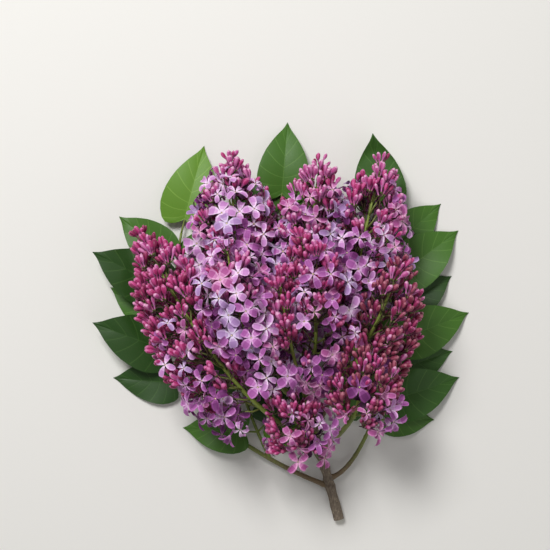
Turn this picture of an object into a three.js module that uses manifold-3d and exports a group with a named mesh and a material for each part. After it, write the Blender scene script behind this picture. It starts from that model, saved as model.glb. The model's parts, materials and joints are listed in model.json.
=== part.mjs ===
// A flowering branch of common lilac, cut from its bush and laid down.
// Millimetres, +Z up. The branch lies along Y: its cut foot is at low Y, and its flower heads,
// which are called panicles, reach to high Y. It rests on the leaves and the woody stem.
//
// Limbs carry each other: each one names the limb that it stands on and how far along that one.
// Panicles and leafy twigs end the limbs. Each of them keeps to a space of its own.

import * as THREE from "three";
import { mergeVertices } from "three/addons/utils/BufferGeometryUtils.js";
import Module from "manifold-3d";

const wasm = await Module();
wasm.setup();

// ---------------------------------------------------------------- driving dimensions

const JOIN_GAP = 0.3; // between a limb and what stands on it
const LEAF_LAYER = 15; // leaves under the flowers stay below this height
const FLOWER_FLOOR = 18.5; // and the flowers stay above this one

// Each flower here stands for a small bunch, so it is larger than life.
const FLORET_ACROSS = 30; // an open one, from lobe tip to lobe tip
const FLORET_NOTCH = 10; // across the notches between its four lobes
const FLORET_CURL = 2; // how far the lobe tips bend back
const FLORET_SPACING = 21; // between the faces of neighbours
const BUD_ACROSS = 10;
const BUD_HEAD = 8; // from the bud's widest place to its tip
const BUD_SPACING = 13;
const RACHIS_RADIUS = 2.3; // of a panicle's own stalk, at its foot
const CORE_SHARE = 0.52; // the side twigs' dense middle, as a share of the flowers' reach
const ROOT_SINK = 5; // how far a flower's foot goes into that

const LEAF_WIDTH = 0.68; // of the leaf's length
const LEAF_LOBE = 0.16; // how far the lobes of the heart reach back, of the length
const LEAF_THICK = 1.3;
const LEAF_ROWS = 4;
const PETIOLE = 15; // the leaf's stalk
const PETIOLE_SINK = 2; // how far it runs on into the blade
const PETIOLE_RADIUS = 1.1;

const BARK = "#6f6152";
const GREEN_WOOD = "#76793f";
const PETAL = "#b983c4";
const MIXED = "#a85f9f";
const BUD = "#93406f";
const LEAF = "#3f7a2c";

// ---------------------------------------------------------------- small geometry

const UP = new THREE.Vector3(0, 0, 1);
const at = (x, y, z) => new THREE.Vector3(x, y, z);
const radians = THREE.MathUtils.degToRad;
const mix = THREE.MathUtils.lerp;

// A repeatable value from -1 to 1 for each number.
function jitter(n) {
  const x = Math.sin(n * 12.9898 + 4.1414) * 43758.5453;
  return 2 * (x - Math.floor(x)) - 1;
}

// A closed geometry as a manifold-3d solid.
function solidOf(geometry) {
  geometry.deleteAttribute("normal");
  geometry.deleteAttribute("uv");
  const merged = mergeVertices(geometry, 1e-3);
  return new wasm.Manifold(
    new wasm.Mesh({
      numProp: 3,
      vertProperties: merged.attributes.position.array,
      triVerts: new Uint32Array(merged.index.array),
    }),
  );
}

// The largest body of a solid, as a geometry for a mesh whose own origin is `origin`.
function geometryOf(solid, origin) {
  const bodies = solid.decompose().sort((a, b) => b.volume() - a.volume());
  const mesh = bodies[0].getMesh();
  const geometry = new THREE.BufferGeometry();
  geometry.setAttribute("position", new THREE.BufferAttribute(mesh.vertProperties, 3));
  geometry.setIndex(new THREE.BufferAttribute(mesh.triVerts, 1));
  geometry.translate(-origin.x, -origin.y, -origin.z);
  geometry.computeVertexNormals();
  return geometry;
}

function moveVertices(geometry, place) {
  const position = geometry.attributes.position;
  const vertex = new THREE.Vector3();
  for (let i = 0; i < position.count; i++) {
    vertex.fromBufferAttribute(position, i);
    const moved = place(vertex);
    position.setXYZ(i, moved.x, moved.y, moved.z);
  }
  return geometry;
}

function verticesOf(geometry) {
  const position = geometry.attributes.position;
  return Array.from({ length: position.count }, (_, i) =>
    new THREE.Vector3().fromBufferAttribute(position, i),
  );
}

// A round limb along a curve, closed at both ends, that tapers from one radius to the other.
function limbGeometry(curve, footRadius, tipRadius, sides, steps) {
  const frames = curve.computeFrenetFrames(steps);
  return moveVertices(new THREE.CylinderGeometry(1, 1, 1, sides, steps), (v) => {
    const row = Math.round((v.y + 0.5) * steps);
    const radius = mix(footRadius, tipRadius, row / steps);
    return curve
      .getPointAt(row / steps)
      .addScaledVector(frames.binormals[row], v.x * radius)
      .addScaledVector(frames.normals[row], v.z * radius);
  });
}

// Two directions square to the given one, in the order that keeps a shape's faces outward.
function squareTo(direction) {
  const helper = Math.abs(direction.z) < 0.9 ? UP : at(1, 0, 0);
  const side = new THREE.Vector3().crossVectors(direction, helper).normalize();
  return [side, new THREE.Vector3().crossVectors(side, direction)];
}

// ---------------------------------------------------------------- limbs

// Every limb's centre line and radii, by name, for what stands on it and what must miss it.
const limbs = new Map();

const radiusAlong = (limb, s) => mix(limb.footRadius, limb.tipRadius, s);

// Where a limb that heads for `toward` starts, so that its flat foot just misses its carrier.
function footOn(carrier, s, toward, ownRadius) {
  const line = limbs.get(carrier);
  const middle = line.curve.getPointAt(s);
  const along = line.curve.getTangentAt(s);
  if (s === 1) return middle.addScaledVector(along, JOIN_GAP);
  const heading = new THREE.Vector3().subVectors(toward, middle).normalize();
  const angle = along.angleTo(heading);
  const clear = radiusAlong(line, s) + JOIN_GAP + ownRadius * Math.abs(Math.cos(angle));
  return middle.addScaledVector(heading, clear / Math.sin(angle));
}

// The curve of a limb or panicle: one bend between its foot and its tip. At the end of its
// carrier it goes on in the carrier's direction, and `bend` is worked out from that.
function curveOn({ on, along, bend, tip, footRadius }) {
  const foot = footOn(on, along, bend, footRadius);
  const knee =
    along === 1
      ? limbs.get(on).curve.getTangentAt(1).multiplyScalar(0.4 * foot.distanceTo(tip)).add(foot)
      : bend;
  return new THREE.QuadraticBezierCurve3(foot, knee, tip);
}

const mainStem = {
  name: "main_stem",
  footRadius: 5.6,
  tipRadius: 3.7,
  sides: 10,
  steps: 7,
  colour: BARK,
  curve: new THREE.CubicBezierCurve3(
    at(67, -256, 5.6),
    at(58, -220, 8),
    at(47, -184, 20),
    at(38, -150, 34),
  ),
};

const boughs = [
  {
    name: "bough_left", on: "main_stem", along: 0.32,
    bend: at(0, -200, 7), tip: at(-56, -160, 8), footRadius: 2.6, tipRadius: 1.9,
  },
  {
    name: "bough_right", on: "main_stem", along: 0.4,
    bend: at(80, -204, 8), tip: at(99, -160, 8), footRadius: 2.5, tipRadius: 1.9,
  },
  {
    name: "bough_under", on: "main_stem", along: 0.52,
    bend: at(16, -140, 7), tip: at(8, -10, 8), footRadius: 2.4, tipRadius: 1.8,
  },
  {
    name: "shoot_left", on: "main_stem", along: 0.7,
    bend: at(22, -164, 56), tip: at(-4, -142, 74), footRadius: 3.0, tipRadius: 2.5,
  },
  {
    name: "shoot_low_right", on: "main_stem", along: 0.7,
    bend: at(66, -164, 58), tip: at(78, -142, 80), footRadius: 2.8, tipRadius: 2.4,
  },
  {
    name: "shoot_back_left", on: "main_stem", along: 0.9,
    bend: at(4, -112, 46), tip: at(-24, -30, 54), footRadius: 2.9, tipRadius: 2.4,
  },
  {
    name: "shoot_back_right", on: "main_stem", along: 0.9,
    bend: at(66, -112, 46), tip: at(74, -50, 54), footRadius: 2.9, tipRadius: 2.4,
  },
  {
    name: "shoot_centre", on: "main_stem", along: 1,
    tip: at(30, -46, 54), footRadius: 3.0, tipRadius: 2.4,
  },
];

const LIMB_STEPS = 24;

function addLimb(limb) {
  limb.curve ??= curveOn(limb);
  limb.samples = Array.from({ length: LIMB_STEPS + 1 }, (_, i) => ({
    point: limb.curve.getPointAt(i / LIMB_STEPS),
    radius: radiusAlong(limb, i / LIMB_STEPS),
  }));
  const { curve, footRadius, tipRadius } = limb;
  const wide = limbGeometry(curve, footRadius + 0.5, tipRadius + 0.5, 8, 12);
  limb.room = new THREE.Box3().setFromPoints(verticesOf(wide));
  limb.keepOut = solidOf(wide);
  limbs.set(limb.name, limb);
}

addLimb(mainStem);
for (const bough of boughs) addLimb({ sides: 7, steps: 7, colour: GREEN_WOOD, ...bough });

// ---------------------------------------------------------------- panicles

// radius: the flowers' greatest reach from the stalk. bare: the stalk's share with no flowers.
// open: at 0 or less nearly all are buds, at 1 or more nearly all are open; the base opens first.
const panicles = [
  {
    name: "panicle_left", on: "shoot_left", along: 1, tip: at(-132, 34, 64),
    radius: 54, bare: 0.12, flowers: 54, open: 0.16, turn: 30,
  },
  {
    name: "panicle_back_left", on: "shoot_back_left", along: 1, tip: at(-44, 106, 64),
    radius: 55, bare: 0.02, flowers: 56, open: 0.66, turn: 10,
  },
  {
    name: "panicle_back_centre", on: "shoot_centre", along: 1, tip: at(44, 104, 64),
    radius: 50, bare: 0.05, flowers: 46, open: 0.55, turn: 50,
  },
  {
    name: "panicle_back_right", on: "shoot_back_right", along: 1, tip: at(106, 104, 62),
    radius: 52, bare: 0.04, flowers: 50, open: 0.38, turn: 20,
  },
  {
    name: "panicle_front_left", on: "shoot_back_left", along: 0.22,
    bend: at(-36, -74, 112), tip: at(-46, 24, 124),
    radius: 56, bare: 0.14, flowers: 46, open: 1.2, turn: 40,
  },
  {
    name: "panicle_centre", on: "shoot_centre", along: 0.35,
    bend: at(50, -60, 108), tip: at(28, 28, 126),
    radius: 52, bare: 0.15, flowers: 46, open: 0.7, turn: 0,
  },
  {
    name: "panicle_right", on: "shoot_back_right", along: 0.42,
    bend: at(96, -70, 84), tip: at(122, 4, 90),
    radius: 50, bare: 0.14, flowers: 46, open: 0.06, turn: 70,
  },
  {
    name: "panicle_low_right", on: "shoot_low_right", along: 1, tip: at(74, -58, 108),
    radius: 44, bare: 0.08, flowers: 38, open: -0.1, turn: 15,
  },
  {
    name: "panicle_low", on: "main_stem", along: 0.86,
    bend: at(36, -164, 84), tip: at(-16, -110, 104),
    radius: 41, bare: 0.28, flowers: 28, open: 0.12, turn: 60,
  },
  {
    name: "panicle_small", on: "shoot_centre", along: 0.12,
    bend: at(14, -74, 124), tip: at(4, -6, 144),
    radius: 28, bare: 0.5, flowers: 18, open: 0.0, turn: 25,
  },
];

// A panicle's outline: the share of its radius at q, from its lowest flowers to its tip.
const outlineOf = (q) => 1.68 * (q + 0.12) ** 0.35 * (1.03 - q) ** 0.7;

const CELL_STEPS = 24;
const LEAST_REACH = 20; // the round end of a panicle, about its stalk's tip

for (const panicle of panicles) {
  panicle.footRadius = RACHIS_RADIUS;
  panicle.tipRadius = 0.9;
  addLimb(Object.assign(panicle, { sides: 5, steps: 9 }));
  panicle.reachAt = (s) => panicle.radius * outlineOf((s - panicle.bare) / (1 - panicle.bare));
  panicle.cell = Array.from({ length: CELL_STEPS + 1 }, (_, i) => {
    const s = mix(panicle.bare, 1, i / CELL_STEPS);
    return {
      point: panicle.curve.getPointAt(s),
      reach: Math.max(panicle.reachAt(s), LEAST_REACH),
    };
  });
}

// How far a point is from a panicle's stalk, as a share of the panicle's reach there.
function shareOf(panicle, point) {
  let least = Infinity;
  for (const { point: middle, reach } of panicle.cell)
    least = Math.min(least, middle.distanceTo(point) / reach);
  return least;
}

// True where every point lies in the panicle's own space, above the leaves.
const CELL_MARGIN = 0.025;
function inOwnSpace(panicle, points) {
  return points.every((point) => {
    const own = shareOf(panicle, point);
    const floor = FLOWER_FLOOR + Math.max(0, own - 1) * panicle.radius;
    return (
      own < 1.35 &&
      point.z > floor &&
      panicles.every((other) => other === panicle || shareOf(other, point) > own + CELL_MARGIN)
    );
  });
}

// True where no point is within `margin` of any limb but its own.
function clearOfLimbs(points, margin, own) {
  for (const limb of limbs.values()) {
    if (limb === own) continue;
    for (const { point: middle, radius } of limb.samples)
      if (points.some((point) => point.distanceTo(middle) < radius + margin)) return false;
  }
  return true;
}

// True where a closed geometry runs into any limb but its own.
function touchesLimb(geometry, own) {
  const room = new THREE.Box3().setFromPoints(verticesOf(geometry));
  const near = [...limbs.values()].filter((limb) => limb !== own && limb.room.intersectsBox(room));
  if (near.length === 0) return false;
  const solid = solidOf(geometry.clone());
  return near.some((limb) => solid.intersect(limb.keepOut).volume() > 0);
}

// How far out a panicle's flowers may go from its stalk in a direction, up to `wanted`.
function roomAlong(panicle, foot, direction, wanted) {
  const isFree = (point) =>
    inOwnSpace(panicle, [point]) && clearOfLimbs([point], 2, panicle);
  let room = 0;
  while (room < wanted && isFree(foot.clone().addScaledVector(direction, room + 1))) room += 1;
  return room;
}

// The direction out of a stalk at `along`, `round` its axis and leaning forward by `lean`.
function outward(along, round, lean) {
  const [side, third] = squareTo(along);
  return side
    .multiplyScalar(Math.sin(lean) * Math.cos(round))
    .addScaledVector(third, Math.sin(lean) * Math.sin(round))
    .addScaledVector(along, Math.cos(lean));
}

// The dense middle of a panicle, where its side twigs and flower stalks stand close.
function coreGeometry(panicle) {
  return moveVertices(new THREE.CylinderGeometry(1, 1, 1, 7, 6), (v) => {
    const q = mix(0.02, 0.96, Math.round((v.y + 0.5) * 6) / 6);
    const s = mix(panicle.bare, 1, q);
    const foot = panicle.curve.getPointAt(s);
    const middleOfEnd = Math.hypot(v.x, v.z) < 0.5;
    if (middleOfEnd) return foot;
    const direction = outward(panicle.curve.getTangentAt(s), Math.atan2(v.z, v.x), Math.PI / 2);
    const room = roomAlong(panicle, foot, direction, panicle.reachAt(s));
    return foot.addScaledVector(direction, Math.max(CORE_SHARE * room, 3));
  });
}

// An open floret: four lobes round a shallow face, narrowing through its tube to its foot.
function floretGeometry(root, face, spin) {
  const direction = new THREE.Vector3().subVectors(face, root).normalize();
  const [side, third] = squareTo(direction);
  return moveVertices(new THREE.SphereGeometry(1, 8, 2), (v) => {
    if (v.y > 0.5) return face.clone();
    if (v.y < -0.5) return root.clone();
    const eighth = Math.round((Math.atan2(v.z, v.x) / Math.PI) * 4);
    const lobe = eighth % 2 === 0;
    const across = (lobe ? FLORET_ACROSS : FLORET_NOTCH) / 2;
    const angle = (eighth * Math.PI) / 4 + spin;
    return face
      .clone()
      .addScaledVector(direction, lobe ? -FLORET_CURL : -1)
      .addScaledVector(side, across * Math.cos(angle))
      .addScaledVector(third, across * Math.sin(angle));
  });
}

// A bud: a slim four-sided club, widest near its tip.
function budGeometry(root, tip, spin) {
  const direction = new THREE.Vector3().subVectors(tip, root).normalize();
  const [side, third] = squareTo(direction);
  return moveVertices(new THREE.SphereGeometry(1, 4, 2), (v) => {
    if (v.y > 0.5) return tip.clone();
    if (v.y < -0.5) return root.clone();
    const angle = Math.atan2(v.z, v.x) + spin;
    return tip
      .clone()
      .addScaledVector(direction, -BUD_HEAD)
      .addScaledVector(side, (BUD_ACROSS / 2) * Math.cos(angle))
      .addScaledVector(third, (BUD_ACROSS / 2) * Math.sin(angle));
  });
}

const GOLDEN = radians(137.5);

// The flowers stand round the stalk a golden angle apart, from the base to the tip. Each one
// draws back until it is inside the panicle's space and clear of the limbs, or is left out.
function flowersOf(panicle) {
  const { curve, flowers, open, turn, bare } = panicle;
  const made = [];
  const placed = [];
  for (let n = 0; n < flowers; n++) {
    const q = 1 - (1 - (n + 0.5) / flowers) ** 0.62;
    const s = mix(bare, 1, q);
    const foot = curve.getPointAt(s);
    const lean = radians(mix(82, 12, q ** 1.6));
    const round = n * GOLDEN + radians(turn);
    const direction = outward(curve.getTangentAt(s), round, lean);
    const isOpen = open - q + 0.3 * jitter(3 * n + turn) > 0;
    const wanted = Math.max(panicle.reachAt(s) * (1 + 0.1 * jitter(n)), LEAST_REACH);
    const room = roomAlong(panicle, foot, direction, wanted);
    const root = foot.clone();
    root.addScaledVector(direction, Math.max(CORE_SHARE * room - ROOT_SINK, 0));
    for (let back = 1; back < 0.4 * room; back += 1.5) {
      const end = foot.clone().addScaledVector(direction, room - back);
      const spacing = isOpen ? FLORET_SPACING : BUD_SPACING;
      if (placed.some((other) => other.distanceTo(end) < spacing)) break;
      const flower = (isOpen ? floretGeometry : budGeometry)(root, end, n);
      const points = verticesOf(flower);
      if (!inOwnSpace(panicle, points)) continue;
      if (touchesLimb(flower, panicle)) continue;
      placed.push(end);
      made.push(flower);
      break;
    }
  }
  return made;
}

function panicleSolid(panicle) {
  const stalk = limbGeometry(panicle.curve, panicle.footRadius, panicle.tipRadius, 5, 7);
  return [stalk, coreGeometry(panicle), ...flowersOf(panicle)]
    .map(solidOf)
    .reduce((whole, piece) => whole.add(piece));
}

// ---------------------------------------------------------------- leaves

// Each row of a leaf's blade: how far along it, and its half width there, at its widest 1.
const leafRows = Array.from({ length: LEAF_ROWS + 1 }, (_, row) => {
  const q = row / LEAF_ROWS;
  return { t: q ** 1.1, width: 1.98 * (q + 0.14) ** 0.45 * Math.max(1 - q, 0.004) ** 0.9 };
});

// The greatest height of a leaf over a place: low under the flowers, free beside them.
function leafCeiling(x, y) {
  let beside = Infinity;
  for (const panicle of panicles)
    for (const { point, reach } of panicle.cell)
      beside = Math.min(beside, Math.hypot(point.x - x, point.y - y) - reach);
  return LEAF_LAYER + 0.8 * Math.max(0, beside - 4);
}

// A leaf's two pieces: a thin blade, arched along its length and a little folded at its midrib,
// and a stalk. It starts at `foot`; `heading` points along it in the plane of the floor. The
// blade's lobes reach back on both sides of the stalk.
function leafGeometries({ foot, heading, length, baseHeight, tipHeight, rise, roll }) {
  const across = at(heading.y, -heading.x, 0);
  const halfWidth = (length * LEAF_WIDTH) / 2;
  const pointAt = (along, out) =>
    foot.clone().addScaledVector(heading, along).addScaledVector(across, out);
  const blade = moveVertices(new THREE.BoxGeometry(1, 1, 1, 2, LEAF_ROWS, 1), (v) => {
    const { t, width } = leafRows[Math.round((v.y + 0.5) * LEAF_ROWS)];
    const side = 2 * v.x;
    const out = side * halfWidth * width;
    const back = LEAF_LOBE * Math.abs(side) * (1 - t) ** 4;
    const point = pointAt(PETIOLE + length * (t - back), out);
    const arch = mix(baseHeight, tipHeight, t ** 1.6) + rise * Math.sin(Math.PI * t);
    const height = arch + 0.14 * Math.abs(out) + roll * out;
    const half = (LEAF_THICK / 2) * (1 - 0.5 * Math.abs(side));
    point.z = Math.max(Math.min(height, leafCeiling(point.x, point.y)), half) + 2 * v.z * half;
    return point;
  });
  const stalk = moveVertices(new THREE.BoxGeometry(1, 1, 1), (v) => {
    const share = v.y + 0.5;
    const point = pointAt(share * (PETIOLE + PETIOLE_SINK), 2 * v.x * PETIOLE_RADIUS);
    point.z = mix(foot.z, baseHeight, share) + 2 * v.z * PETIOLE_RADIUS;
    return point;
  });
  return [blade, stalk];
}

const LEAF_TRIES = [1, 0.92, 0.84, 0.76].flatMap((size) => [0, 9, -9, 18].map((m) => [size, m]));
const takenByLeaves = [];
const touchesSolids = (geometry, solids) => {
  const solid = solidOf(geometry.clone());
  return solids.some((other) => solid.intersect(other).volume() > 0);
};

// pairs: leaves stand in opposite pairs along the twig, with one more leaf at its end.
const sprays = [
  {
    name: "leaves_low", on: "bough_left", along: 0.5, bend: at(-22, -158, 8), tip: at(-32, -128, 9),
    pairs: 1, length: 64, spread: 62, turn: 3,
  },
  {
    name: "leaves_left", on: "bough_left", along: 1, tip: at(-98, 44, 9),
    pairs: 3, length: 80, spread: 60, turn: 11,
  },
  {
    name: "leaves_top", on: "bough_under", along: 1, tip: at(6, 70, 9),
    pairs: 1, length: 76, spread: 48, turn: 37,
  },
  {
    name: "leaves_right", on: "bough_right", along: 1, tip: at(114, 58, 9),
    pairs: 3, length: 75, spread: 60, turn: 45,
  },
];

for (const spray of sprays) {
  spray.footRadius = 1.8;
  spray.tipRadius = 1.3;
  addLimb(spray);
}

function spraySolid(spray) {
  const { curve, pairs, length, spread, turn } = spray;
  const stem = limbGeometry(curve, spray.footRadius, spray.tipRadius, 5, 6);
  const placed = [];
  const addLeaf = (s, yaw, seed) => {
    const foot = curve.getPointAt(s);
    const along = curve.getTangentAt(s);
    for (const [size, more] of LEAF_TRIES) {
      const angle = Math.atan2(along.y, along.x) + radians(yaw + more + 5 * jitter(seed));
      const leaf = leafGeometries({
        foot,
        heading: at(Math.cos(angle), Math.sin(angle), 0),
        length: size * length,
        baseHeight: foot.z + 2.5 + 1.5 * jitter(seed + 1),
        tipHeight: jitter(seed + 3) > 0.25 ? 26 : 0,
        rise: 5 + 3 * jitter(seed + 4),
        roll: 0.16 * jitter(seed + 5),
      });
      if (leaf.some((piece) => touchesLimb(piece, spray))) continue;
      if (leaf.some((piece) => touchesSolids(piece, takenByLeaves))) continue;
      placed.push(...leaf);
      return;
    }
  };
  for (let n = 0; n < pairs; n++)
    for (const half of [-1, 1]) {
      const s = mix(0.12, 1, (n + 0.3 * (pairs === 1)) / pairs);
      addLeaf(s, half * spread, turn + 2 * n + half);
    }
  addLeaf(1, 0, turn + 9);
  const whole = [stem, ...placed].map(solidOf).reduce((a, b) => a.add(b));
  takenByLeaves.push(whole);
  return whole;
}

// ---------------------------------------------------------------- the plant

const plant = new THREE.Group();

function addMesh(name, solid, origin, colour, roughness) {
  const material = new THREE.MeshStandardMaterial({ color: colour, roughness, metalness: 0 });
  const mesh = new THREE.Mesh(geometryOf(solid, origin), material);
  mesh.name = name;
  mesh.position.copy(origin);
  plant.add(mesh);
}

for (const { name, curve, footRadius, tipRadius, sides, steps, colour } of [
  limbs.get("main_stem"),
  ...boughs.map((bough) => limbs.get(bough.name)),
])
  addMesh(
    name,
    solidOf(limbGeometry(curve, footRadius, tipRadius, sides, steps)),
    curve.getPointAt(0),
    colour,
    0.8,
  );

for (const panicle of panicles) {
  const colour = panicle.open > 0.8 ? PETAL : panicle.open > 0.4 ? MIXED : BUD;
  addMesh(panicle.name, panicleSolid(panicle), panicle.curve.getPointAt(0), colour, 0.6);
}

for (const spray of sprays)
  addMesh(spray.name, spraySolid(spray), spray.curve.getPointAt(0), LEAF, 0.55);

// The origin is under the middle of the branch, on the surface that it lies on.
const box = new THREE.Box3().setFromObject(plant, true);
const middle = box.getCenter(new THREE.Vector3());
plant.position.set(-middle.x, -middle.y, -box.min.z);

const root = new THREE.Group();
root.add(plant);

export default root;
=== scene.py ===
"""A cut flowering branch of common lilac, laid down: a short woody stem, green shoots, ten
flower heads and four leafy twigs.

Sizes are millimetres in the plant's own coordinates, with Y along the branch and Z up; build()
puts them into the frame, in metres. Limbs, heads and leaves follow the rule that shaped the
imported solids, and go on from there to the twigs, florets, buds and veins.
"""

import json

import bpy
import numpy as np
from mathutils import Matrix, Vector


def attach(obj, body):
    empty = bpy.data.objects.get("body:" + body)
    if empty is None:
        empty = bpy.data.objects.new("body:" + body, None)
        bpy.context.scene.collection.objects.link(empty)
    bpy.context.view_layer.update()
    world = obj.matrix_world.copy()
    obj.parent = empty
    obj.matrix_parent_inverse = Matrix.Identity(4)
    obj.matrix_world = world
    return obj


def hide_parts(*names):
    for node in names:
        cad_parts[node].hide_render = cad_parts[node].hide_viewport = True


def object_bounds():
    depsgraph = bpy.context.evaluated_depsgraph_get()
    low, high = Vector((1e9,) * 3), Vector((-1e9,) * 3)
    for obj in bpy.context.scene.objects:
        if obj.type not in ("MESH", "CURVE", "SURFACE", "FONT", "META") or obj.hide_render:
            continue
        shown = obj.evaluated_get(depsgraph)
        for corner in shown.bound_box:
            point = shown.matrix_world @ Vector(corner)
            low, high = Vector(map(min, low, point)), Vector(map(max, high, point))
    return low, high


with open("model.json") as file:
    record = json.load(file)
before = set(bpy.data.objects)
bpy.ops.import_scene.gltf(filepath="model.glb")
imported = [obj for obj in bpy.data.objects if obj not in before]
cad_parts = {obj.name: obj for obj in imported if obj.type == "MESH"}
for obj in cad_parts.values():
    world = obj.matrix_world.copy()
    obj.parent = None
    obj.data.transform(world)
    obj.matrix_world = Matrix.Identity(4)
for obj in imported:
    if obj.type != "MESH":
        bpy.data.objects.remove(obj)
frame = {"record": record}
cad_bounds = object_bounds()

# ------------------------ the woody stem
# Last year's wood: grey-brown bark, wrinkled lengthwise, with pale corky lenticels. It was cut
# straight across with secateurs, so its foot shows the bark's edge, a green line, wood and pith.

MM = 0.001
UP = np.array([0.0, 0.0, 1.0])
STEM = np.array([(67, -256, 5.6), (58, -220, 8), (47, -184, 20), (38, -150, 34)], float)
STEM_RADII = (5.6, 3.7)
STEM_SIDES = 72
STEM_ROWS = 130
SKIN_SHARE = 0.97  # the bark's mean radius, as a share of the limb's
BARK_WRINKLE = 0.2
WRINKLE_COUNTS = (5, 9, 14, 19)  # ridges round the stem, one set over another
SHOOT_NODES = (0.32, 0.4, 0.52, 0.7, 0.9)
NODE_SWELLING, NODE_WIDTH = 0.7, 0.022  # where shoots stand; the width is a share of the stem
CUT_RINGS = np.array([0.1, 0.45, 0.8, 0.87]) * STEM_RADII[0]  # pith, wood, wood, green line

foot_mount = next(m for m in frame["record"]["mounts"] if m["name"] == "cut_face")
SHIFT = np.array(foot_mount["pos_m"]) / MM - STEM[0]


def unit(vectors):
    """The vectors at length 1."""
    return vectors / np.linalg.norm(vectors, axis=-1, keepdims=True)


def bezier(control, t):
    """The Bezier curve at each t: neighbours of the control points are mixed until one is left."""
    t = np.asarray(t, float)[..., None]
    points = list(control)
    while len(points) > 1:
        points = [a * (1 - t) + b * t for a, b in zip(points, points[1:])]
    return points[0]


class Limb:
    """A limb's middle line, a Bezier curve by its own length s from 0 to 1, and its radius,
    which goes evenly from the one at the foot to the one at the tip."""

    def __init__(self, control, radii):
        self.control = np.array(control, float)
        self.radii = radii
        t = np.linspace(0, 1, 201)
        steps = np.linalg.norm(np.diff(bezier(self.control, t), axis=0), axis=1)
        self.length = steps.sum()
        # The shares of the length that were gone at each t.
        self.by_length = (np.append(0, np.cumsum(steps)) / self.length, t)

    def point(self, s):
        """The place on the curve at each s."""
        return bezier(self.control, np.interp(s, *self.by_length))

    def heading(self, s):
        """The curve's direction there, which is the Bezier curve of the control points' steps."""
        return unit(bezier(np.diff(self.control, axis=0), np.interp(s, *self.by_length)))

    def radius(self, s):
        """The foot's radius plus s of its difference from the tip's."""
        return self.radii[0] + (self.radii[1] - self.radii[0]) * np.asarray(s, float)


limbs = {"main_stem": Limb(STEM, STEM_RADII)}


def square_to(directions):
    """Two directions square to each given one, right-handed with it."""
    upright = np.abs(directions[..., 2:]) >= 0.9
    helper = np.where(upright, [1.0, 0.0, 0.0], UP)
    side = unit(np.cross(directions, helper))
    return side, np.cross(directions, side)


def spokes(side, third, turns):
    """side cos a + third sin a, for each turn a."""
    return side * np.cos(turns)[..., None] + third * np.sin(turns)[..., None]


def even_turns(sides):
    """The turns that part a circle evenly."""
    return np.arange(sides) * 2 * np.pi / sides


def circle(sides):
    """Points round a circle of radius 1 in the plane z = 0."""
    return spokes(np.array([1, 0, 0]), np.array([0, 1, 0]), even_turns(sides))


def rings(middles, headings, radii, sides):
    """Rings of points round a path. A radius is for a whole ring or for each of its points."""
    side = unit(np.cross(headings, UP))
    third = np.cross(headings, side)
    radii = np.broadcast_to(np.reshape(radii, (len(middles), -1)), (len(middles), sides))
    round_them = spokes(side[:, None], third[:, None], even_turns(sides))
    return middles[:, None] + radii[..., None] * round_them


def closed_tube(ring_points, row_slots):
    """The skin of a row of rings: quads between neighbours, and a fan of triangles to a middle
    point at either end. row_slots has a slot for the foot's fan, each row and the tip's fan."""
    rows, sides = ring_points.shape[:2]
    ends = ring_points[[0, -1]].mean(1)
    points = np.concatenate([ring_points.reshape(-1, 3), ends])
    here = np.arange(sides)
    after = (here + 1) % sides
    low = np.arange(rows - 1)[:, None] * sides
    quads = np.stack([low + here, low + after, low + after + sides, low + here + sides], -1)
    none, foot_middle, tip_middle = np.repeat([[-1], [rows * sides], [rows * sides + 1]], sides, 1)
    last = (rows - 1) * sides
    foot = np.stack([foot_middle, after, here, none], -1)
    tip = np.stack([tip_middle, last + here, last + after, none], -1)
    faces = np.concatenate([foot, quads.reshape(-1, 4), tip])
    return points, faces, np.repeat(row_slots, sides)


def joined(surfaces):
    """Several surfaces as one, with the point numbers moved on."""
    points, faces, slots = zip(*surfaces)
    first = np.cumsum([0] + [len(own) for own in points])
    faces = [np.where(own < 0, -1, own + n) for own, n in zip(faces, first)]
    return np.concatenate(points), np.concatenate(faces), np.concatenate(slots)


def placed(name, data):
    """A new object of this data, in the scene."""
    obj = bpy.data.objects.new(name, data)
    bpy.context.scene.collection.objects.link(obj)
    return obj


def build(name, surfaces, materials, replaced, along=None):
    """One object from surfaces of (points, faces, slots), put into the frame. A face is four
    point numbers, the last of them -1 on a triangle. `along` is a value for each point, kept
    as the mesh's attribute of that name."""
    points, faces, slots = joined(surfaces)
    corners = (faces >= 0).sum(1)
    mesh = bpy.data.meshes.new(name)
    mesh.vertices.add(len(points))
    mesh.vertices.foreach_set("co", ((points + SHIFT) * MM).astype(np.float32).ravel())
    mesh.loops.add(int(corners.sum()))
    mesh.loops.foreach_set("vertex_index", faces[faces >= 0].astype(np.int32))
    mesh.polygons.add(len(faces))
    mesh.polygons.foreach_set("loop_start", (np.cumsum(corners) - corners).astype(np.int32))
    mesh.polygons.foreach_set("material_index", slots.astype(np.int32))
    mesh.polygons.foreach_set("use_smooth", np.ones(len(faces), bool))
    for material in materials:
        mesh.materials.append(material)
    if along is not None:
        mesh.attributes.new("along", "FLOAT", "POINT").data.foreach_set("value", along)
    mesh.update(calc_edges=True)
    piece = placed(name, mesh)
    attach(piece, "root")
    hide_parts(replaced)


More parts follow.
